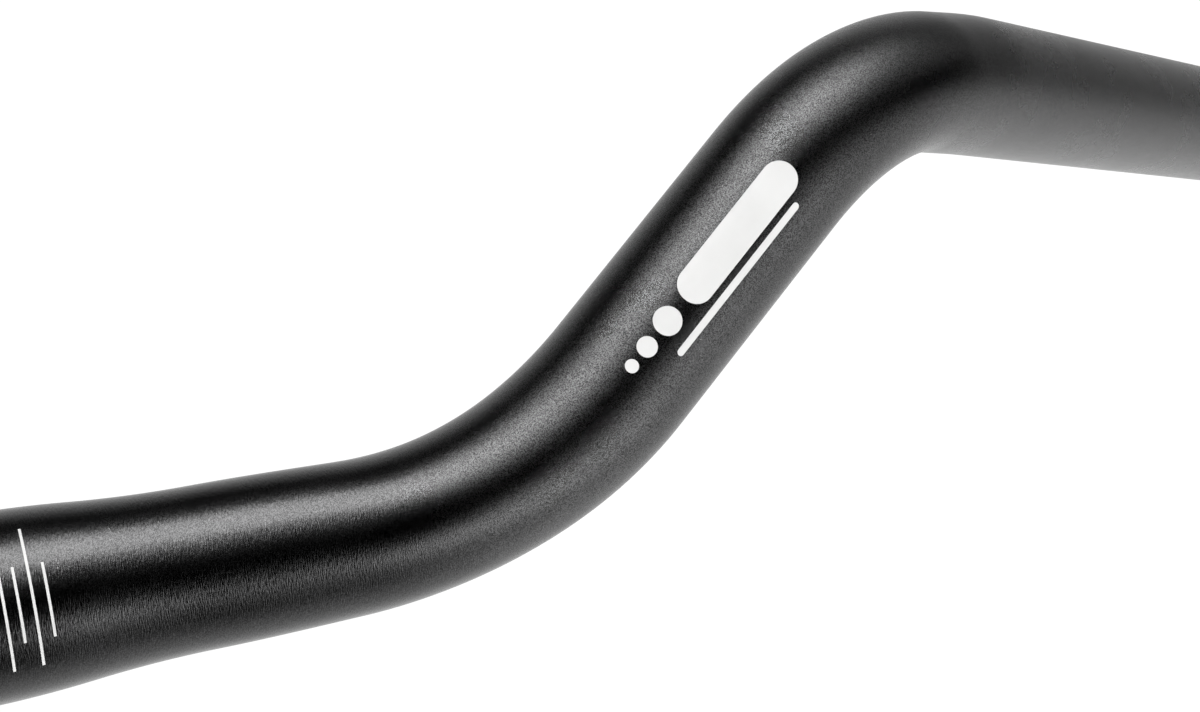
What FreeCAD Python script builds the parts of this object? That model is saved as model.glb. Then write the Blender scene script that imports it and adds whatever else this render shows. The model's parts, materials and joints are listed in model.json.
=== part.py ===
import FreeCAD, Part
import math
import os
import Sketcher

# Trekking handlebar: one hollow aluminium tube, bulged in the middle for the stem, that rises on
# each side and then sweeps back to the grips. The origin is the middle of the stem clamp, +X runs
# along the clamp to the right hand, +Y towards the rider and +Z up. Millimetres and degrees.

# Driving dimensions: name, value and what it measures
DIMENSIONS = [
    ("clamp_diameter", 25.4, "bulge that the stem holds"),
    ("clamp_length", 52.0, "cylindrical part of the bulge"),
    ("shoulder_length", 32.0, "S-shaped step from the bulge down to the tube"),
    ("tube_diameter", 22.2, "tube outside the bulge"),
    ("wall", 2.3, "wall of the tube"),
    ("lead_length", 20.0, "straight from the shoulder to the lower bend"),
    ("lower_radius", 66.0, "lower bend, on the centreline"),
    ("rise_angle", 40.0, "slope of the riser above the clamp"),
    ("lower_flattening", 1.3, "loss of depth in the plane of the lower bend"),
    ("riser_length", 37.0, "straight between the two bends"),
    ("upper_radius", 40.0, "upper bend, on the centreline"),
    ("backsweep", 43.0, "angle of the grip to the clamp, seen from above"),
    ("downsweep", 2.0, "fall of the grip towards its end"),
    ("upper_flattening", 1.0, "loss of depth in the plane of the upper bend"),
    ("upper_inset", 0.85, "shift of the flattened section to the inside of the upper bend"),
    ("widening", 0.2, "gain of width for each millimetre of depth lost"),
    ("flat_run", 18.0, "straight past the upper bend that is still flattened"),
    ("grip_length", 193.0, "straight from the upper bend to the open end"),
    ("end_chamfer", 0.5, "bevel at the open end, inside and out"),
]

# Sizes that follow from them: the grip's direction, the upper bend and the two flattened stretches
DERIVED = [
    ("grip_out", "cos(downsweep) * cos(backsweep)"),
    ("grip_back", "cos(downsweep) * sin(backsweep)"),
    ("grip_up", "-sin(downsweep)"),
    ("upper_angle", "acos(grip_out * cos(rise_angle) + grip_up * sin(rise_angle)) / 1 deg"),
    ("upper_twist", "atan2(-grip_back; grip_up * cos(rise_angle) - grip_out * sin(rise_angle)) / 1 deg"),
    ("lower_stretch", "lead_length + lower_radius * rise_angle * pi / 180"),
    ("upper_stretch", "flat_run + upper_radius * upper_angle * pi / 180"),
]

# Steps between the sections of a flattened stretch: along its straight and along its bend
STRAIGHT_STEPS = 2
BEND_STEPS = 3

# Axes of a plane or sketch: across the tube, towards the inside of its bend, and along it
ACROSS = FreeCAD.Vector(1, 0, 0)
INWARD = FreeCAD.Vector(0, 1, 0)
ALONG = FreeCAD.Vector(0, 0, 1)

# The sketcher's numbers for the points of a line or arc, and for its own origin
START, END, CENTRE = 1, 2, 3
ORIGIN = (-1, 1)

# Top and bottom of a circle, in the radians that arcs are drawn with
TOP, BOTTOM = math.pi / 2, 1.5 * math.pi


def make_sheet(doc):
    """Spreadsheet with a named cell for each size."""
    sheet = doc.addObject("Spreadsheet::Sheet", "sizes")
    rows = [(name, str(value), meaning) for name, value, meaning in DIMENSIONS]
    rows += [(name, "=" + formula, "follows from the sizes above") for name, formula in DERIVED]
    for number, (name, content, meaning) in enumerate(rows, start=1):
        sheet.set(f"A{number}", name)
        sheet.set(f"B{number}", content)
        sheet.set(f"C{number}", meaning)
        sheet.setAlias(f"B{number}", name)
    doc.recompute()
    return sheet


def point(along, up):
    return FreeCAD.Vector(along, up, 0)


def attach(thing, support, turn_axis=ALONG, turn="0", **offsets):
    """Lay a plane or sketch on a plane, shifted by formulas and turned about one of its axes."""
    thing.AttachmentSupport = [(support, "")]
    thing.MapMode = "FlatFace"
    # The starting turn is not zero, because a rotation of zero would lose its axis
    thing.AttachmentOffset = FreeCAD.Placement(FreeCAD.Vector(), FreeCAD.Rotation(turn_axis, 1))
    thing.setExpression("AttachmentOffset.Rotation.Angle", turn)
    for axis, formula in offsets.items():
        thing.setExpression(f"AttachmentOffset.Base.{axis}", formula)


def plane_along(body, name, support, **place):
    plane = body.newObject("PartDesign::Plane", name)
    attach(plane, support, **place)
    return plane


def lengthwise_sketch(body, name, support):
    """Sketch that holds the tube's axis as its horizontal, and the bend's inside as its upright."""
    sketch = body.newObject("Sketcher::SketchObject", name)
    attach(sketch, support, INWARD, "-90")
    return sketch


def constrain(sketch, *constraint):
    return sketch.addConstraint(Sketcher.Constraint(*constraint))


def dimension(sketch, formula, *constraint):
    """Add a constraint whose value follows a formula; its last item is only where it starts."""
    sketch.setExpression(f"Constraints[{constrain(sketch, *constraint)}]", formula)


def add_line(sketch, first, last):
    return sketch.addGeometry(Part.LineSegment(first, last))


def add_arc(sketch, centre, radius, first_angle, last_angle):
    circle = Part.Circle(centre, ALONG, radius)
    return sketch.addGeometry(Part.ArcOfCircle(circle, first_angle, last_angle))


def add_circle(sketch, diameter, start_diameter):
    """Circle about the sketch's origin."""
    circle = sketch.addGeometry(Part.Circle(FreeCAD.Vector(), ALONG, start_diameter / 2))
    constrain(sketch, "Coincident", circle, CENTRE, *ORIGIN)
    dimension(sketch, diameter, "Diameter", circle, start_diameter)


def add_oval(sketch, width, depth, inset, start_width, start_depth, start_inset):
    """Ellipse with its width across, its middle shifted inward from the sketch's origin."""
    middle = INWARD * start_inset
    ends = middle + ACROSS * (start_width / 2), middle + INWARD * (start_depth / 2)
    oval = sketch.addGeometry(Part.Ellipse(*ends, middle))
    sketch.exposeInternalGeometry(oval)
    long_axis, short_axis = oval + 1, oval + 2
    constrain(sketch, "Vertical", oval, CENTRE, *ORIGIN)
    dimension(sketch, inset, "DistanceY", *ORIGIN, oval, CENTRE, start_inset)
    constrain(sketch, "Horizontal", long_axis)
    dimension(sketch, width, "Distance", long_axis, start_width)
    dimension(sketch, depth, "Distance", short_axis, start_depth)


def place_on_path(before="0", radius="0", angle="0", after="0"):
    """Offsets of a section that lies past a straight, a bend inward and another straight."""
    return {"y": f"{radius} * (1 - cos({angle})) + {after} * sin({angle})",
            "z": f"{before} + {radius} * sin({angle}) + {after} * cos({angle})",
            "turn_axis": -ACROSS, "turn": angle}


def ring(body, sheet, name, support, place, loss=None, inset="0", start_loss=0, start_inset=0):
    """Section of the tube, outside and inside: round, or flattened where it has lost depth."""
    sketch = body.newObject("Sketcher::SketchObject", name)
    attach(sketch, support, **place)
    skins = (("sizes.tube_diameter", sheet.tube_diameter),
             ("(sizes.tube_diameter - 2 * sizes.wall)", sheet.tube_diameter - 2 * sheet.wall))
    for diameter, start in skins:
        if loss is None:
            add_circle(sketch, diameter, start)
        else:
            add_oval(sketch, f"{diameter} + sizes.widening * {loss}", f"{diameter} - {loss}", inset,
                     start + start_loss, start - start_loss, start_inset)
    return sketch


def bend_path(body, sheet, name, support, radius, angle, before=None, after=None):
    """Centreline of a bend, with a straight before or after it."""
    sketch = lengthwise_sketch(body, name, support)
    start_radius, turn = sheet.get(radius), math.radians(sheet.get(angle))
    reach = sheet.get(before) if before else 0
    if before:
        line = add_line(sketch, point(0, 0), point(reach, 0))
        constrain(sketch, "Coincident", line, START, *ORIGIN)
        constrain(sketch, "Horizontal", line)
        dimension(sketch, f"sizes.{before}", "Distance", line, reach)
    bend = add_arc(sketch, point(reach, start_radius), start_radius, BOTTOM, BOTTOM + turn)
    if before:
        constrain(sketch, "Tangent", line, END, bend, START)
    else:
        constrain(sketch, "Coincident", bend, START, *ORIGIN)
        constrain(sketch, "Vertical", bend, CENTRE, *ORIGIN)
    dimension(sketch, f"sizes.{radius}", "Radius", bend, start_radius)
    dimension(sketch, f"sizes.{angle}", "Angle", bend, turn)
    if after:
        bend_end = sketch.getPoint(bend, END)
        onward = point(math.cos(turn), math.sin(turn)) * sheet.get(after)
        line = add_line(sketch, bend_end, bend_end + onward)
        constrain(sketch, "Tangent", bend, END, line, START)
        dimension(sketch, f"sizes.{after}", "Distance", line, sheet.get(after))
    return sketch


def flattened_stretch(body, sheet, name, support, path, stations, stretch, flattening, inset=None):
    """Sweep along a path through sections that flatten and grow round again.

    Each station has its place and its distance from the start of the stretch."""
    sections = []
    for number, (place, distance) in enumerate(stations):
        section = {}
        if 0 < number < len(stations) - 1:
            share = f"sin(180 * ({distance}) / sizes.{stretch}) ^ 2"
            section = {"loss": f"sizes.{flattening} * {share}", "start_loss": sheet.get(flattening)}
            if inset:
                section |= {"inset": f"sizes.{inset} * {share}", "start_inset": sheet.get(inset)}
        sections.append(ring(body, sheet, f"{name}_{number}", support, place, **section))
    sweep = body.newObject("PartDesign::AdditivePipe", name)
    sweep.Profile = sections[0]
    sweep.Spine = path
    sweep.Sections = sections[1:]
    sweep.Transformation = "Multisection"


def turned(body, name, sketch):
    """Revolve a profile about the tube's axis, which is the sketch's horizontal."""
    feature = body.newObject("PartDesign::Revolution", name)
    feature.Profile = sketch
    feature.ReferenceAxis = (sketch, ["H_Axis"])


def add_clamp_skin(sketch, sheet, inset, start_inset):
    """Half of the bulge and its S-shaped shoulder: a straight and two equal arcs."""
    half, step = sheet.clamp_length / 2, sheet.shoulder_length
    top, foot = sheet.clamp_diameter / 2 - start_inset, sheet.tube_diameter / 2 - start_inset
    radius = (step ** 2 + (top - foot) ** 2) / (4 * (top - foot))
    lean = math.asin(step / 2 / radius)
    straight = add_line(sketch, point(0, top), point(half, top))
    crown = add_arc(sketch, point(half, top - radius), radius, TOP - lean, TOP)
    hollow = add_arc(sketch, point(half + step, foot + radius), radius, BOTTOM - lean, BOTTOM)
    constrain(sketch, "Horizontal", straight)
    constrain(sketch, "Vertical", straight, START, *ORIGIN)
    constrain(sketch, "Tangent", straight, END, crown, END)
    constrain(sketch, "Tangent", crown, START, hollow, START)
    constrain(sketch, "Equal", crown, hollow)
    constrain(sketch, "Vertical", hollow, CENTRE, hollow, END)
    dimension(sketch, "sizes.clamp_length / 2", "DistanceX", straight, START, straight, END, half)
    dimension(sketch, "sizes.shoulder_length", "DistanceX", straight, END, hollow, END, step)
    dimension(sketch, f"sizes.clamp_diameter / 2 - {inset}", "DistanceY", *ORIGIN, straight, START, top)
    dimension(sketch, f"sizes.tube_diameter / 2 - {inset}", "DistanceY", *ORIGIN, hollow, END, foot)
    return (straight, START), (hollow, END)


def make_clamp(body, sheet, plane):
    """Right half of the bulge and its shoulder, turned about the clamp's axis."""
    sketch = body.newObject("Sketcher::SketchObject", "clamp_profile")
    attach(sketch, plane)
    outer_ends = add_clamp_skin(sketch, sheet, "0", 0)
    inner_ends = add_clamp_skin(sketch, sheet, "sizes.wall", sheet.wall)
    for outer_end, inner_end in zip(outer_ends, inner_ends):
        edge = add_line(sketch, sketch.getPoint(*outer_end), sketch.getPoint(*inner_end))
        constrain(sketch, "Coincident", edge, START, *outer_end)
        constrain(sketch, "Coincident", edge, END, *inner_end)
    turned(body, "clamp", sketch)


def make_lower_bend(body, sheet, plane):
    """Straight past the shoulder and the bend up to the riser."""
    path = bend_path(body, sheet, "lower_path", plane, "lower_radius", "rise_angle", before="lead_length")
    stations = []
    for number in range(STRAIGHT_STEPS):
        distance = f"sizes.lead_length * {number} / {STRAIGHT_STEPS}"
        stations.append((place_on_path(distance), distance))
    for number in range(1, BEND_STEPS + 1):
        angle = f"sizes.rise_angle * {number} / {BEND_STEPS}"
        place = place_on_path("sizes.lead_length", "sizes.lower_radius", angle)
        stations.append((place, f"sizes.lead_length + sizes.lower_radius * {angle} * pi / 180"))
    flattened_stretch(body, sheet, "lower_bend", plane, path, stations, "lower_stretch", "lower_flattening")


def make_riser(body, sheet, plane):
    """Round straight between the two bends."""
    riser = body.newObject("PartDesign::Pad", "riser")
    riser.Profile = ring(body, sheet, "riser_section", plane, place_on_path())
    riser.setExpression("Length", "sizes.riser_length")


def make_upper_bend(body, sheet, plane):
    """Bend from the riser back to the grip, and the straight where it grows round again."""
    path = bend_path(body, sheet, "upper_path", plane, "upper_radius", "upper_angle", after="flat_run")
    stations = []
    for number in range(BEND_STEPS):
        angle = f"sizes.upper_angle * {number} / {BEND_STEPS}"
        place = place_on_path("0", "sizes.upper_radius", angle)
        stations.append((place, f"sizes.upper_radius * {angle} * pi / 180"))
    for number in range(1, STRAIGHT_STEPS + 1):
        past = f"sizes.flat_run * {number} / {STRAIGHT_STEPS}"
        place = place_on_path("0", "sizes.upper_radius", "sizes.upper_angle", past)
        stations.append((place, f"sizes.upper_stretch - sizes.flat_run + {past}"))
    flattened_stretch(body, sheet, "upper_bend", plane, path, stations, "upper_stretch", "upper_flattening",
                      "upper_inset")


def make_grip(body, sheet, plane):
    """Round straight that carries the grip, turned about its own axis, with a bevelled open end."""
    sketch = lengthwise_sketch(body, "grip_profile", plane)
    first, last, bevel = sheet.flat_run, sheet.grip_length, sheet.end_chamfer
    outside = sheet.tube_diameter / 2
    inside = outside - sheet.wall
    corners = [point(first, outside), point(last - bevel, outside), point(last, outside - bevel),
               point(last, inside + bevel), point(last - bevel, inside), point(first, inside)]
    sides = [add_line(sketch, corner, after) for corner, after in zip(corners, corners[1:] + corners[:1])]
    for side, after in zip(sides, sides[1:] + sides[:1]):
        constrain(sketch, "Coincident", side, END, after, START)
    outer, outer_bevel, face, inner_bevel, inner, root = sides
    for side in (outer, inner):
        constrain(sketch, "Horizontal", side)
    for side in (face, root):
        constrain(sketch, "Vertical", side)
    dimension(sketch, "sizes.end_chamfer", "DistanceX", outer_bevel, START, outer_bevel, END, bevel)
    dimension(sketch, "sizes.end_chamfer", "DistanceX", inner_bevel, END, inner_bevel, START, bevel)
    for side in (outer_bevel, inner_bevel):
        dimension(sketch, "sizes.end_chamfer", "DistanceY", side, END, side, START, bevel)
    dimension(sketch, "sizes.flat_run", "DistanceX", *ORIGIN, outer, START, first)
    dimension(sketch, "sizes.grip_length", "DistanceX", *ORIGIN, face, START, last)
    dimension(sketch, "sizes.tube_diameter / 2", "DistanceY", *ORIGIN, outer, START, outside)
    dimension(sketch, "sizes.wall", "DistanceY", root, START, root, END, sheet.wall)
    turned(body, "grip", sketch)


def make_handlebar(doc, sheet):
    """The right half, from the clamp out to the grip's end, and its mirror image."""
    body = doc.addObject("PartDesign::Body", "handlebar")
    body.Label = "handlebar"
    origin_planes = {feature.Role: feature for feature in body.Origin.OriginFeatures}
    middle = origin_planes["YZ_Plane"]
    shoulder_end = plane_along(body, "shoulder_end", middle,
                               z="sizes.clamp_length / 2 + sizes.shoulder_length")
    riser_start = plane_along(body, "riser_start", shoulder_end,
                              **place_on_path("sizes.lead_length", "sizes.lower_radius", "sizes.rise_angle"))
    riser_end = plane_along(body, "riser_end", riser_start, z="sizes.riser_length", turn="sizes.upper_twist")
    grip_start = plane_along(body, "grip_start", riser_end,
                             **place_on_path("0", "sizes.upper_radius", "sizes.upper_angle"))
    make_clamp(body, sheet, origin_planes["XZ_Plane"])
    make_lower_bend(body, sheet, shoulder_end)
    make_riser(body, sheet, riser_start)
    make_upper_bend(body, sheet, riser_end)
    make_grip(body, sheet, grip_start)
    doc.recompute()
    both_sides = body.newObject("PartDesign::Mirrored", "both_sides")
    both_sides.TransformMode = "Whole shape"
    both_sides.MirrorPlane = (middle, [""])
    body.Tip = both_sides
    doc.recompute()
    return body


def check(doc, body):
    """Stop if any feature failed or the bar is not one sound solid."""
    for thing in doc.Objects:
        if "Invalid" in thing.State or "Error" in thing.State:
            raise RuntimeError(f"{thing.Name} failed: {thing.State}")
    shape = body.Shape
    if shape.isNull() or not shape.isValid() or len(shape.Solids) != 1:
        raise RuntimeError("the handlebar is not one valid solid")


document = FreeCAD.newDocument("trekking_handlebar")
handlebar = make_handlebar(document, make_sheet(document))
check(document, handlebar)
os.makedirs("parts", exist_ok=True)
handlebar.Shape.exportStep(f"parts/{handlebar.Label}.step")
print(f"{handlebar.Label}: one solid of {handlebar.Shape.Volume:.0f} cubic millimetres")
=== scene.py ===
import json
import math

import bmesh
import bpy
from mathutils import Matrix, Vector


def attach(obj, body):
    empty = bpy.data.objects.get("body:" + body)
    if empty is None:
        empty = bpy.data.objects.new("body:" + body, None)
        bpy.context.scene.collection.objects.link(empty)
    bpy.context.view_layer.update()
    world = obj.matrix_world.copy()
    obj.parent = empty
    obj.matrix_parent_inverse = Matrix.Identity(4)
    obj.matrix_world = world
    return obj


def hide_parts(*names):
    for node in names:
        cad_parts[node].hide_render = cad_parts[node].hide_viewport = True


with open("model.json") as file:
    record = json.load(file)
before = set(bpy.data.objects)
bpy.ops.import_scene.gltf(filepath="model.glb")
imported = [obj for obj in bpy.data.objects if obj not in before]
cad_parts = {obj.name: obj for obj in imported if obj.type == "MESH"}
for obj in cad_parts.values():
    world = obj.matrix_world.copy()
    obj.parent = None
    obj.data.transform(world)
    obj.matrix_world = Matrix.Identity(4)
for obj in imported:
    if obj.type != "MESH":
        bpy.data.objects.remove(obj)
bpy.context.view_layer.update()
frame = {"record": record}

MOUNTS = {mount["name"]: mount for mount in frame["record"]["mounts"]}
MM = 0.001

# Sizes that the mounts give
CLAMP_RADIUS = MOUNTS["stem_clamp"]["dims"]["r_mm"] * MM
CLAMP_HALF = MOUNTS["stem_clamp"]["dims"]["length_mm"] * MM / 2
TUBE_RADIUS = MOUNTS["grip_right"]["dims"]["r_mm"] * MM
WALL = TUBE_RADIUS - MOUNTS["bar_end_right"]["dims"]["r_mm"] * MM
GRIP_AXIS = Vector(MOUNTS["grip_right"]["axis"]).normalized()

# The tube's route from the middle outwards
SHOULDER_LENGTH = 32 * MM
LEAD_LENGTH = 20 * MM
LOWER_RADIUS = 66 * MM
RISE_ANGLE = math.radians(40)
RISER_LENGTH = 37 * MM
UPPER_RADIUS = 40 * MM
GRIP_LENGTH = 193 * MM
FLAT_RUN = 18 * MM
END_BEVEL = 0.5 * MM

# How far the bends pinch the tube in their own plane, how far the upper one shifts it to the inside, and
# how much of the pinch it widens across
LOWER_PINCH = 1.3 * MM
UPPER_PINCH = 1.0 * MM
UPPER_INSET = 0.85 * MM
WIDENING = 0.2

# Fineness of the tube's mesh, and its sharpest smooth edge
AROUND = 128
BEND_STEP = 1.4 * MM
STRAIGHT_STEP = 6 * MM
TUBE_CREASE = math.radians(25)

# White print: thickness above the skin, depth of its underside in the wall, and its sharpest smooth edge
INK_PROUD = 0.012 * MM
INK_SUNK = 0.05 * MM
INK_CREASE = math.radians(40)

# Alignment lines beside the clamp: distance from the middle, how far round they reach, and their fineness
MARK_PLACES = (31.4 * MM, 33.25 * MM, 35.12 * MM, 37.05 * MM)
MARK_WIDTH = 0.36 * MM
LONG_MARK = (-42.0, 48.8)
SHORT_MARK = (-23.8, 22.1)
MARK_COLUMNS = 48

# Plain print on the right riser: a band, a fine line below it and a row of shrinking dots
BAND_FROM, BAND_TO = 135.5 * MM, 160.5 * MM
BAND_WIDTH = 5.4 * MM
BAND_ANGLE = 6
BAND_COLUMNS = 16
PINSTRIPE_FROM, PINSTRIPE_TO = 129 * MM, 157 * MM
PINSTRIPE_WIDTH = 1.1 * MM
PINSTRIPE_ANGLE = -16
PINSTRIPE_COLUMNS = 6
DOTS = ((131.6 * MM, 4.2 * MM), (126.9 * MM, 3.0 * MM), (123.4 * MM, 2.0 * MM))
DOT_COLUMNS = 12

# Grain of the blasted skin, and the stretch of its cells' brightness that goes from pit to peak
GRAIN_SIZE = 0.11 * MM
GRAIN_DEPTH = 0.037 * MM
GRAIN_RANGE = (0.16, 0.84)

# Turned stretch beside the clamp, where the grain is fainter over fine lines: how far out it reaches and
# fades, how close and how drawn out the lines are, and how much of the grain's contrast and relief is left
TURNED_TO = 72 * MM
TURNED_FADES = 112 * MM
TURNED_SPACING = 0.15 * MM
TURNED_STRETCH = 0.14
TURNED_CONTRAST = 0.3
TURNED_RELIEF = 0.2

# Anodised skin: colours of its pits and peaks, its roughness, and the specks of dust on it
PIT_BLACK = (0.022, 0.022, 0.022)
PEAK_BLACK = (0.098, 0.098, 0.099)
BAR_ROUGHNESS = (0.268, 0.292)
DUST_GREY = (0.2, 0.2, 0.2)
DUST_SCALE = 200.0
DUST_EDGE = (0.014, 0.026)

# Ink: its shades, its roughness and how much of the grain shows through
INK_SHADE = (0.51, 0.51, 0.505)
INK_WHITE = (0.64, 0.64, 0.635)
INK_ROUGHNESS = (0.42, 0.6)
INK_GRAIN_DEPTH = 0.008 * MM

# Slow clouding of both finishes, and the range that most of a noise's values lie in
CLOUD_SCALE = 90.0
NOISE_RANGE = (0.3, 0.7)

# Camera: where it stands, the point it looks at, how far it is rolled, its lens and the nearest it sees
CAMERA_PLACE = Vector((19.16, -343.86, 3.16)) * MM
CAMERA_AIM = Vector((118.15, 0, 18.53)) * MM
CAMERA_ROLL = math.radians(10.815)
CAMERA_SENSOR = 36
CAMERA_LENS = 76.304
CAMERA_NEAR = 10 * MM


def bar_route():
    """The straights and bends of the right half, as (length, radius or None) with the turn's axis."""
    riser_axis = Vector((math.cos(RISE_ANGLE), 0, math.sin(RISE_ANGLE)))
    lower_turn = Vector((1, 0, 0)).cross(riser_axis).normalized()
    upper_turn = riser_axis.cross(GRIP_AXIS).normalized()
    upper_angle = riser_axis.angle(GRIP_AXIS)
    return (
        (CLAMP_HALF + SHOULDER_LENGTH + LEAD_LENGTH, None, lower_turn),
        (LOWER_RADIUS * RISE_ANGLE, LOWER_RADIUS, lower_turn),
        (RISER_LENGTH, None, upper_turn),
        (UPPER_RADIUS * upper_angle, UPPER_RADIUS, upper_turn),
        (GRIP_LENGTH, None, upper_turn),
    )


ROUTE = bar_route()
HALF_LENGTH = sum(length for length, radius, turn in ROUTE)
LOWER_START = CLAMP_HALF + SHOULDER_LENGTH
LOWER_END = ROUTE[0][0] + ROUTE[1][0]
UPPER_START = LOWER_END + RISER_LENGTH
UPPER_END = UPPER_START + ROUTE[3][0] + FLAT_RUN


def frame_at(along):
    """Centre, direction, front, upper side and bend axis of the tube, that far from the middle."""
    centre = Vector((0, 0, 0))
    ahead = Vector((1, 0, 0))
    front = Vector((0, -1, 0))
    left = along
    for length, radius, turn in ROUTE:
        step = min(left, length)
        if radius is None:
            centre = centre + ahead * step
        else:
            inward = turn.cross(ahead)
            angle = step / radius
            spin = Matrix.Rotation(angle, 3, turn)
            centre = centre + ahead * radius * math.sin(angle) + inward * radius * (1 - math.cos(angle))
            ahead = spin @ ahead
            front = spin @ front
        left -= step
        if left <= 0:
            break
    return centre, ahead, front, front.cross(ahead), turn


def pinch_at(along):
    """How much thinner the tube is in its bend's plane there, and how far it is shifted to the inside."""
    pinched = (
        (LOWER_START, LOWER_END, LOWER_PINCH, 0.0),
        (UPPER_START, UPPER_END, UPPER_PINCH, UPPER_INSET),
    )
    for start, end, depth, inset in pinched:
        if start < along < end:
            share = math.sin(math.pi * (along - start) / (end - start)) ** 2
            return depth * share, inset * share
    return 0.0, 0.0


def radius_at(along):
    """Outer radius of the round stretches: the clamp, its shoulder of two equal arcs, and the tube."""
    drop = CLAMP_RADIUS - TUBE_RADIUS
    if along <= CLAMP_HALF:
        return CLAMP_RADIUS
    if along >= LOWER_START:
        return TUBE_RADIUS
    half = SHOULDER_LENGTH / 2
    arc = (half ** 2 + (drop / 2) ** 2) / drop
    into = along - CLAMP_HALF
    if into < half:
        return CLAMP_RADIUS - (arc - math.sqrt(arc ** 2 - into ** 2))
    return TUBE_RADIUS + (arc - math.sqrt(arc ** 2 - (SHOULDER_LENGTH - into) ** 2))


def skin_point(along, angle, depth=0.0):
    """A point on the tube, or that far below its skin. The angle is 0 in front and grows upwards."""
    side = 1 if along >= 0 else -1
    centre, ahead, front, upper, turn = frame_at(abs(along))
    inward = turn.cross(ahead)
    around = front * math.cos(angle) + upper * math.sin(angle)
    pinch, inset = pinch_at(abs(along))
    radius = radius_at(abs(along)) - depth
    in_plane = inward * (around.dot(inward) * (radius - pinch / 2) + inset)
    across = turn * around.dot(turn) * (radius + WIDENING * pinch / 2)
    point = centre + in_plane + across
    return Vector((side * point.x, point.y, point.z))


def stations():
    """Distances from the middle where the half tube has a ring of points."""
    bounds = [
        (0.0, STRAIGHT_STEP),
        (CLAMP_HALF, BEND_STEP),
        (LOWER_START, BEND_STEP),
        (LOWER_END, STRAIGHT_STEP),
        (UPPER_START, BEND_STEP),
        (UPPER_END, STRAIGHT_STEP),
        (HALF_LENGTH - END_BEVEL, None),
    ]
    places = []
    for (start, step), (end, following) in zip(bounds, bounds[1:]):
        count = max(1, math.ceil((end - start) / step))
        places += [start + (end - start) * k / count for k in range(count)]
    return places + [HALF_LENGTH - END_BEVEL]


def put_in_scene(name, data):
    """A new object of that mesh, light or camera, in the scene."""
    piece = bpy.data.objects.new(name, data)
    bpy.context.scene.collection.objects.link(piece)
    return piece


def smooth_mesh(name, bm, sharp_angle):
    """Finishes a mesh: outward normals, smooth faces, and creases sharper than the angle."""
    bmesh.ops.recalc_face_normals(bm, faces=bm.faces)
    for face in bm.faces:
        face.smooth = True
    for edge in bm.edges:
        edge.smooth = edge.calc_face_angle(0.0) < sharp_angle
    mesh = bpy.data.meshes.new(name)
    bm.to_mesh(mesh)
    bm.free()
    return mesh


def tube_mesh():
    """The whole bar: outer skin from end to end, bevelled rims and the bore, as one closed skin."""
    half = stations()
    outer = [(-place, 0.0) for place in reversed(half[1:])] + [(place, 0.0) for place in half]
    rim = [
        (HALF_LENGTH, END_BEVEL),
        (HALF_LENGTH, WALL - END_BEVEL),
    ]
    inner = [(place, WALL) for place, depth in reversed(outer)]
    other_rim = [(-place, depth) for place, depth in reversed(rim)]
    rings = outer + rim + inner + other_rim
    bm = bmesh.new()
    uv = bm.loops.layers.uv.new("along_round")
    angles = [2 * math.pi * k / AROUND - math.pi for k in range(AROUND + 1)]
    points = []
    for along, depth in rings:
        points.append([bm.verts.new(skin_point(along, angle, depth)) for angle in angles[:-1]])
    for ring in range(len(rings)):
        following = (ring + 1) % len(rings)
        for k in range(AROUND):
            corners = ((ring, k), (following, k), (following, k + 1), (ring, k + 1))
            face = bm.faces.new([points[row][column % AROUND] for row, column in corners])
            for loop, (row, column) in zip(face.loops, corners):
                loop[uv].uv = (rings[row][0], angles[column] * TUBE_RADIUS)
    return smooth_mesh("handlebar_tube", bm, TUBE_CREASE)


def ink_rows(bm, rows, columns):
    """A closed thin patch of print on the skin. Each row is (along, lowest angle, highest angle)."""
    uv = bm.loops.layers.uv.verify()
    grids = []
    for depth in (-INK_PROUD, INK_SUNK):
        grid = []
        for along, low, high in rows:
            angles = [low + (high - low) * k / columns for k in range(columns + 1)]
            grid.append([(bm.verts.new(skin_point(along, angle, depth)), along, angle) for angle in angles])
        grids.append(grid)

    def quad(*corners):
        face = bm.faces.new([corner[0] for corner in corners])
        for loop, (vert, along, angle) in zip(face.loops, corners):
            loop[uv].uv = (along, angle * TUBE_RADIUS)

    for grid in grids:
        for row, following in zip(grid, grid[1:]):
            for k in range(columns):
                quad(row[k], following[k], following[k + 1], row[k + 1])
    top, under = grids
    for row in (0, -1):
        for k in range(columns):
            quad(top[row][k], top[row][k + 1], under[row][k + 1], under[row][k])
    for column in (0, -1):
        for k in range(len(rows) - 1):
            quad(top[k][column], top[k + 1][column], under[k + 1][column], under[k][column])


def round_ended_rows(start, end, width, centre_angle):
    """Rows of a band along the tube with half-round ends. A dot is a band as long as it is wide."""
    half = width / 2
    steps = 10
    first_angle = math.radians(7)
    turns = [first_angle + (math.pi / 2 - first_angle) * k / steps for k in range(steps + 1)]
    places = [(start + half * (1 - math.cos(turn)), half * math.sin(turn)) for turn in turns]
    middle = end - start - width
    count = math.ceil(middle / BEND_STEP)
    places += [(start + half + middle * k / count, half) for k in range(1, count)]
    places += [(start + end - place, reach) for place, reach in reversed(places[:steps + 1])]
    if middle <= 0:
        places.pop(steps)
    turn = math.radians(centre_angle)
    return [(place, turn - reach / TUBE_RADIUS, turn + reach / TUBE_RADIUS) for place, reach in places]


def ink_piece(name, patches, columns, material):
    """One piece of white print, made of patches, riding on the bar."""
    bm = bmesh.new()
    bm.loops.layers.uv.new("along_round")
    for rows in patches:
        ink_rows(bm, rows, columns)
    piece = put_in_scene(name, smooth_mesh(name, bm, INK_CREASE))
    piece.data.materials.append(material)
    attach(piece, "root")


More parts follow.
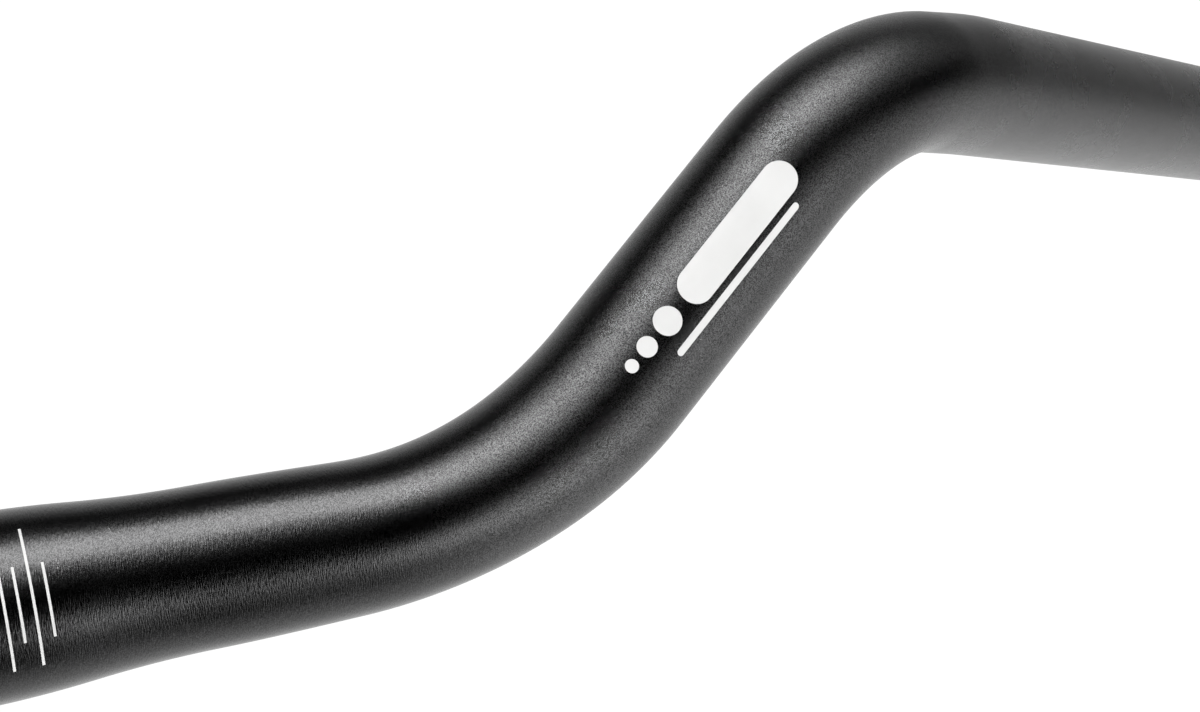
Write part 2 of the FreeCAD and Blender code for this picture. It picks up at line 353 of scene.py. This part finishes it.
def alignment_marks(side):
    """Rows of the long and short lines on one side of the clamp."""
    patches = []
    for count, place in enumerate(MARK_PLACES):
        low, high = LONG_MARK if count % 2 == 0 else SHORT_MARK
        edges = (place - MARK_WIDTH / 2, place + MARK_WIDTH / 2)
        patches.append([(side * edge, math.radians(low), math.radians(high)) for edge in edges])
    return patches


def add_node(tree, kind, **inputs):
    """A new node of that kind, with values for the inputs that are named with _ for a space."""
    node = tree.nodes.new(kind)
    for name, value in inputs.items():
        node.inputs[name.replace("_", " ")].default_value = value
    return node


def add_math(tree, operation, first, second):
    """A maths node. Each side is a socket to link or a plain number."""
    node = tree.nodes.new("ShaderNodeMath")
    node.operation = operation
    for socket, side in zip(node.inputs, (first, second)):
        if isinstance(side, (int, float)):
            socket.default_value = side
        else:
            tree.links.new(side, socket)
    return node.outputs[0]


def add_range(tree, value, low, high, to_low, to_high):
    """A smooth change from one value to another as the first goes from low to high."""
    node = add_node(tree, "ShaderNodeMapRange", From_Min=low, From_Max=high, To_Min=to_low, To_Max=to_high)
    node.interpolation_type = "SMOOTHSTEP"
    tree.links.new(value, node.inputs["Value"])
    return node.outputs["Result"]


def around_half(reach):
    """The range that reaches that far on both sides of a half."""
    return 0.5 - reach, 0.5 + reach


def blasted_grain_group():
    """Grain of the blasted skin. Beside the clamp it is fainter, over the fine lines left by turning."""
    group = bpy.data.node_groups.new("blasted_grain", "ShaderNodeTree")
    for entered in ("Grain Size", "Line Spacing"):
        group.interface.new_socket(entered, in_out="INPUT", socket_type="NodeSocketFloat")
    for output in ("Grain", "Relief", "Cloud", "Specks"):
        group.interface.new_socket(output, in_out="OUTPUT", socket_type="NodeSocketFloat")
    entry = group.nodes.new("NodeGroupInput")
    leave = group.nodes.new("NodeGroupOutput")
    place = group.nodes.new("ShaderNodeTexCoord").outputs["Object"]
    skin = group.nodes.new("ShaderNodeUVMap")
    skin.uv_map = "along_round"
    fineness = add_math(group, "DIVIDE", 1.0, entry.outputs["Grain Size"])
    cells = add_node(group, "ShaderNodeTexVoronoi", Randomness=1.0)
    pits = add_node(group, "ShaderNodeTexNoise", Detail=1.0, Roughness=0.5)
    for texture in (cells, pits):
        group.links.new(place, texture.inputs["Vector"])
        group.links.new(fineness, texture.inputs["Scale"])

    stretch = group.nodes.new("ShaderNodeVectorMath")
    stretch.operation = "MULTIPLY"
    stretch.inputs[1].default_value = (1.0, TURNED_STRETCH, 1.0)
    group.links.new(skin.outputs["UV"], stretch.inputs[0])
    lines = add_node(group, "ShaderNodeTexNoise", Detail=1.0, Roughness=0.5)
    lines.noise_dimensions = "2D"
    group.links.new(stretch.outputs["Vector"], lines.inputs["Vector"])
    closeness = add_math(group, "DIVIDE", 1.0, entry.outputs["Line Spacing"])
    group.links.new(closeness, lines.inputs["Scale"])

    split = group.nodes.new("ShaderNodeSeparateXYZ")
    group.links.new(skin.outputs["UV"], split.inputs["Vector"])
    along = add_math(group, "ABSOLUTE", split.outputs["X"], 0.0)
    turned = add_range(group, along, TURNED_TO, TURNED_FADES, 1.0, 0.0)
    bright = add_range(group, cells.outputs["Color"], *GRAIN_RANGE, 0.0, 1.0)
    faint = add_range(group, cells.outputs["Color"], *GRAIN_RANGE, *around_half(TURNED_CONTRAST))
    shallow = add_range(group, lines.outputs["Fac"], *NOISE_RANGE, *around_half(TURNED_RELIEF))
    for blasted, lined, output in (
        (bright, faint, "Grain"),
        (pits.outputs["Fac"], shallow, "Relief"),
    ):
        mix = group.nodes.new("ShaderNodeMix")
        group.links.new(turned, mix.inputs["Factor"])
        group.links.new(blasted, mix.inputs["A"])
        group.links.new(lined, mix.inputs["B"])
        group.links.new(mix.outputs["Result"], leave.inputs[output])

    cloud = add_node(group, "ShaderNodeTexNoise", Scale=CLOUD_SCALE, Detail=3.0, Roughness=0.55)
    group.links.new(place, cloud.inputs["Vector"])
    group.links.new(cloud.outputs["Fac"], leave.inputs["Cloud"])

    dust = add_node(group, "ShaderNodeTexVoronoi", Scale=DUST_SCALE, Randomness=1.0)
    group.links.new(place, dust.inputs["Vector"])
    specks = add_range(group, dust.outputs["Distance"], *DUST_EDGE, 1.0, 0.0)
    group.links.new(specks, leave.inputs["Specks"])
    return group


def new_material(name):
    """An empty node material with its shader, and that shader's tree."""
    material = bpy.data.materials.new(name)
    material.use_nodes = True
    tree = material.node_tree
    return material, tree, tree.nodes["Principled BSDF"]


def add_grain(tree, group):
    """Places the grain group in a material."""
    grain = tree.nodes.new("ShaderNodeGroup")
    grain.node_tree = group
    grain.inputs["Grain Size"].default_value = GRAIN_SIZE
    grain.inputs["Line Spacing"].default_value = TURNED_SPACING
    return grain.outputs


# Places of the colour sockets in a mix node, which has sockets for other kinds of value before them
MIX_COLOURS = (6, 7)
MIXED_COLOUR = 2


def add_colour_mix(tree, share, first, second):
    """A colour between two others, by a share that changes over the surface. Each is plain or a socket."""
    node = tree.nodes.new("ShaderNodeMix")
    node.data_type = "RGBA"
    tree.links.new(share, node.inputs["Factor"])
    for place, side in zip(MIX_COLOURS, (first, second)):
        if isinstance(side, tuple):
            node.inputs[place].default_value = (*side, 1)
        else:
            tree.links.new(side, node.inputs[place])
    return node.outputs[MIXED_COLOUR]


def add_bump(tree, height, depth, shader):
    """Turns a height into the shader's normal. The depth is in metres."""
    bump = add_node(tree, "ShaderNodeBump", Strength=1.0, Distance=depth)
    tree.links.new(height, bump.inputs["Height"])
    tree.links.new(bump.outputs["Normal"], shader.inputs["Normal"])


def black_anodised(group):
    """Satin black anodised aluminium over a blasted skin."""
    material, tree, shader = new_material("black_anodised")
    grain = add_grain(tree, group)
    shader.inputs["Metallic"].default_value = 1.0
    colour = add_colour_mix(tree, grain["Grain"], PIT_BLACK, PEAK_BLACK)
    dusty = add_colour_mix(tree, grain["Specks"], colour, DUST_GREY)
    tree.links.new(dusty, shader.inputs["Base Color"])
    roughness = add_range(tree, grain["Cloud"], *NOISE_RANGE, *BAR_ROUGHNESS)
    tree.links.new(roughness, shader.inputs["Roughness"])
    add_bump(tree, grain["Relief"], GRAIN_DEPTH, shader)
    return material


def white_ink(group):
    """Satin white ink that lets the blasted skin's grain through."""
    material, tree, shader = new_material("white_ink")
    grain = add_grain(tree, group)
    colour = add_colour_mix(tree, grain["Cloud"], INK_SHADE, INK_WHITE)
    tree.links.new(colour, shader.inputs["Base Color"])
    roughness = add_range(tree, grain["Relief"], *NOISE_RANGE, *INK_ROUGHNESS)
    tree.links.new(roughness, shader.inputs["Roughness"])
    add_bump(tree, grain["Relief"], INK_GRAIN_DEPTH, shader)
    return material


def make_bar(material):
    """The bar's finished skin, in place of the CAD solid."""
    piece = put_in_scene("handlebar_tube", tube_mesh())
    piece.data.materials.append(material)
    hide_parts("handlebar")
    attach(piece, "root")


def make_print(material):
    """Alignment lines on both sides of the clamp, and the plain print on the right riser."""
    for side, word in ((1, "right"), (-1, "left")):
        ink_piece("alignment_marks_" + word, alignment_marks(side), MARK_COLUMNS, material)
    band = round_ended_rows(BAND_FROM, BAND_TO, BAND_WIDTH, BAND_ANGLE)
    ink_piece("riser_band", [band], BAND_COLUMNS, material)
    line = round_ended_rows(PINSTRIPE_FROM, PINSTRIPE_TO, PINSTRIPE_WIDTH, PINSTRIPE_ANGLE)
    ink_piece("riser_pinstripe", [line], PINSTRIPE_COLUMNS, material)
    dots = [round_ended_rows(place - size / 2, place + size / 2, size, BAND_ANGLE) for place, size in DOTS]
    ink_piece("riser_dots", dots, DOT_COLUMNS, material)


# Studio: a pale lit table, a white backdrop, softboxes above and beside the camera, and cards low in front
TABLE_DROP = 0.24
TABLE_SIZE = 2.6
TABLE_GLOW = 1.0
TABLE_SHADE = (0.8, 0.8, 0.8)
TABLE_WHITE = (0.86, 0.86, 0.86)
TABLE_CLOUD_SCALE = 3.0
TABLE_ROUGHNESS = 0.9
# Brightness of the backdrop where the camera sees it
SEEN_WHITE = 1.05
# Each stretch of backdrop: its direction, how far round it fades out and in, and its brightness
BACKDROPS = (
    ((-0.087, 0.935, -0.344), (0.05, 0.76), 0.8),
    ((0.0, 0.75, -0.66), (0.2, 0.85), 0.29),
)
LIGHT_AIM = Vector((0.11, 0, 0.02))
LIGHT_DISTANCE = 1.0
# Each light's name, direction from the bar, width, depth and brightness
SOFTBOXES = (
    ("key_softbox", (0.121, -0.525, 0.843), 1.33, 0.58, 6.15),
    ("left_softbox", (-0.2, -0.8, 0.55), 0.3, 0.3, 6.2),
    ("right_softbox", (0.8, -0.1, 0.6), 0.6, 0.6, 0.54),
    ("back_card", (0.1, 0.65, 0.75), 1.2, 0.5, 0.24),
    ("low_card", (0.733, -0.236, -0.637), 1.55, 1.26, 1.07),
    ("low_strip", (0.53, -0.58, -0.618), 0.81, 0.38, 2.75),
)
# Light that counts as black in the picture, so that the shade between the highlights is as deep as in the
# photograph
BLACK_POINT = 0.003


def make_table():
    """The pale table far below the bar."""
    material, tree, shader = new_material("pale_table")
    cloud = add_node(tree, "ShaderNodeTexNoise", Scale=TABLE_CLOUD_SCALE, Detail=2.0)
    colour = add_colour_mix(tree, cloud.outputs["Fac"], TABLE_SHADE, TABLE_WHITE)
    tree.links.new(colour, shader.inputs["Base Color"])
    shader.inputs["Roughness"].default_value = TABLE_ROUGHNESS
    shader.inputs["Emission Color"].default_value = (1, 1, 1, 1)
    shader.inputs["Emission Strength"].default_value = TABLE_GLOW
    bm = bmesh.new()
    bmesh.ops.create_grid(bm, x_segments=4, y_segments=4, size=TABLE_SIZE / 2)
    mesh = bpy.data.meshes.new("pale_table")
    bm.to_mesh(mesh)
    bm.free()
    table = put_in_scene("pale_table", mesh)
    table.location.z = -TABLE_DROP
    table.visible_glossy = False
    table.visible_shadow = False
    mesh.materials.append(material)


def make_softbox(name, direction, width, depth, brightness):
    """A rectangular soft light that faces the bar and isn't seen itself."""
    light = bpy.data.lights.new(name, "AREA")
    light.shape = "RECTANGLE"
    light.size = width
    light.size_y = depth
    light.energy = brightness * math.pi * width * depth
    lamp = put_in_scene(name, light)
    lamp.location = LIGHT_AIM + Vector(direction).normalized() * LIGHT_DISTANCE
    lamp.rotation_euler = Vector(direction).to_track_quat("Z", "Y").to_euler()
    lamp.visible_camera = False


def make_world():
    """White behind the bar and dark on the camera's side. Seen directly it is white all round."""
    world = bpy.data.worlds.new("studio")
    world.use_nodes = True
    bpy.context.scene.world = world
    tree = world.node_tree
    background = tree.nodes["Background"]
    around = tree.nodes.new("ShaderNodeTexCoord").outputs["Generated"]
    lit = 0.0
    for direction, spread, brightness in BACKDROPS:
        toward = tree.nodes.new("ShaderNodeVectorMath")
        toward.operation = "DOT_PRODUCT"
        toward.inputs[1].default_value = direction
        tree.links.new(around, toward.inputs[0])
        white = add_range(tree, toward.outputs["Value"], *spread, 0.0, brightness)
        lit = add_math(tree, "ADD", white, lit)
    seen = tree.nodes.new("ShaderNodeLightPath").outputs["Is Camera Ray"]
    strength = tree.nodes.new("ShaderNodeMix")
    tree.links.new(seen, strength.inputs["Factor"])
    tree.links.new(lit, strength.inputs["A"])
    strength.inputs["B"].default_value = SEEN_WHITE
    background.inputs["Color"].default_value = (1, 1, 1, 1)
    tree.links.new(strength.outputs["Result"], background.inputs["Strength"])


def make_camera():
    """The camera at the photograph's place and lens."""
    camera = put_in_scene("camera", bpy.data.cameras.new("camera"))
    camera.data.sensor_width = CAMERA_SENSOR
    camera.data.lens = CAMERA_LENS
    camera.data.clip_start = CAMERA_NEAR
    camera.location = CAMERA_PLACE
    level = (CAMERA_AIM - CAMERA_PLACE).to_track_quat("-Z", "Y").to_matrix()
    camera.rotation_euler = (level @ Matrix.Rotation(-CAMERA_ROLL, 3, "Z")).to_euler()
    bpy.context.scene.camera = camera


def set_black_point():
    """Plain colours in the picture, with its black set a little above no light at all."""
    view = bpy.context.scene.view_settings
    view.view_transform = "Standard"
    view.use_curve_mapping = True
    view.curve_mapping.black_level = (BLACK_POINT, BLACK_POINT, BLACK_POINT)
    view.curve_mapping.update()


grain_group = blasted_grain_group()
make_bar(black_anodised(grain_group))
make_print(white_ink(grain_group))
make_table()
for softbox in SOFTBOXES:
    make_softbox(*softbox)
make_world()
make_camera()
set_black_point()
